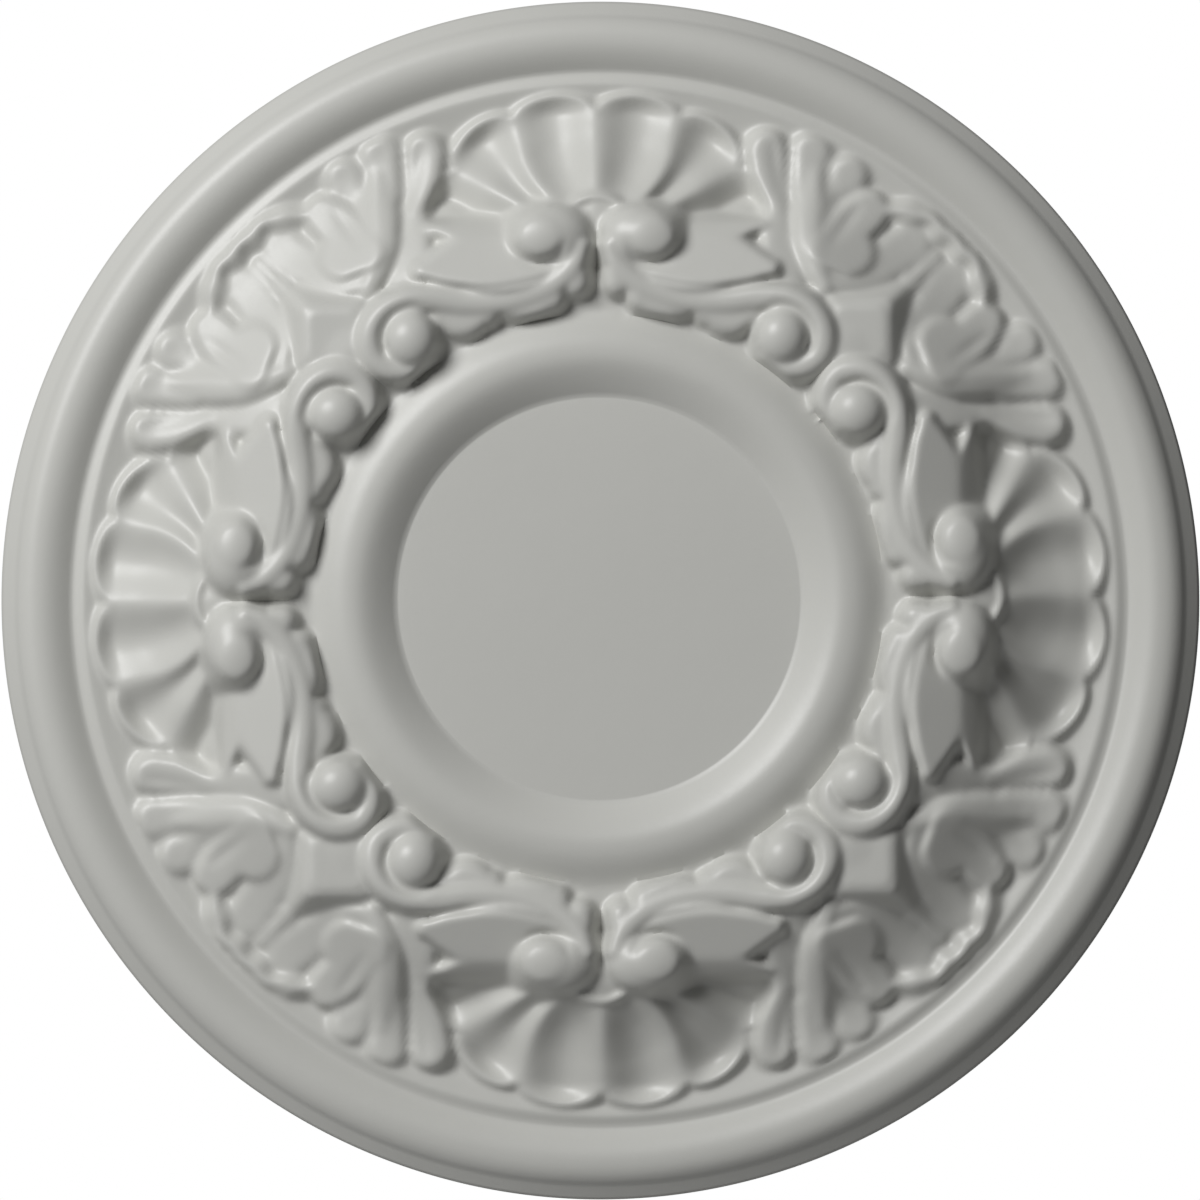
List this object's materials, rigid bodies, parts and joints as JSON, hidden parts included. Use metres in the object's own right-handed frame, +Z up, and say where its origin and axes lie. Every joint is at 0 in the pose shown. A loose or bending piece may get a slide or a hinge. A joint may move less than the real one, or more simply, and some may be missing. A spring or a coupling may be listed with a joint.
{
  "type": "ceiling rose",
  "caption": "Round moulded ceiling rose: plain recessed centre, turned rings and a raised band of shells, scrolls and acanthus leaves; fixed flat by its back.",
  "frame": {"origin": "centre of the flat back face, where the rose is stuck or screwed to a ceiling or wall", "axes": "+Y out of the flat back, into what it is fixed to; moulded face looks along -Y; +Z up as pictured, through the middle of one shell"},
  "size_m": [0.4001, 0.0368, 0.4],
  "materials": {
    "primed_moulding": "satin off-white primer over moulded rigid foam"
  },
  "bodies": {
    "root": {"ceiling_rose": "primed_moulding"}
  },
  "joints": []
}
